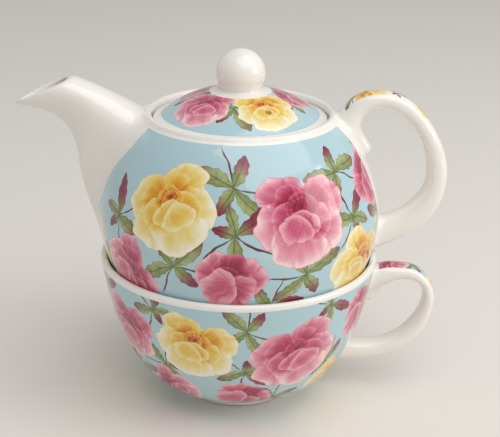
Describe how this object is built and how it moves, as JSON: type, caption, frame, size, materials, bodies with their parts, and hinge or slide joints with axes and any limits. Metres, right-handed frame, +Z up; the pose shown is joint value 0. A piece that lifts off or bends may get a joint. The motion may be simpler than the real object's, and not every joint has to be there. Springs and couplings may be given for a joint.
{
  "type": "tea for one teapot",
  "caption": "Round teapot with a lid that nests on its own wide cup, each with a loop handle, glazed and patterned with roses.",
  "frame": {"origin": "centre of the cup's foot ring, on the plane it stands on", "axes": "+Z up along the axis of the cup, teapot and lid; the spout points to -X and both handles to +X"},
  "size_m": [0.1803, 0.119, 0.152],
  "materials": {
    "cup_glaze": "gloss",
    "teapot_glaze": "gloss",
    "lid_glaze": "gloss"
  },
  "bodies": {
    "root": {"cup": "cup_glaze", "teapot": "teapot_glaze", "lid": "lid_glaze"}
  },
  "joints": []
}
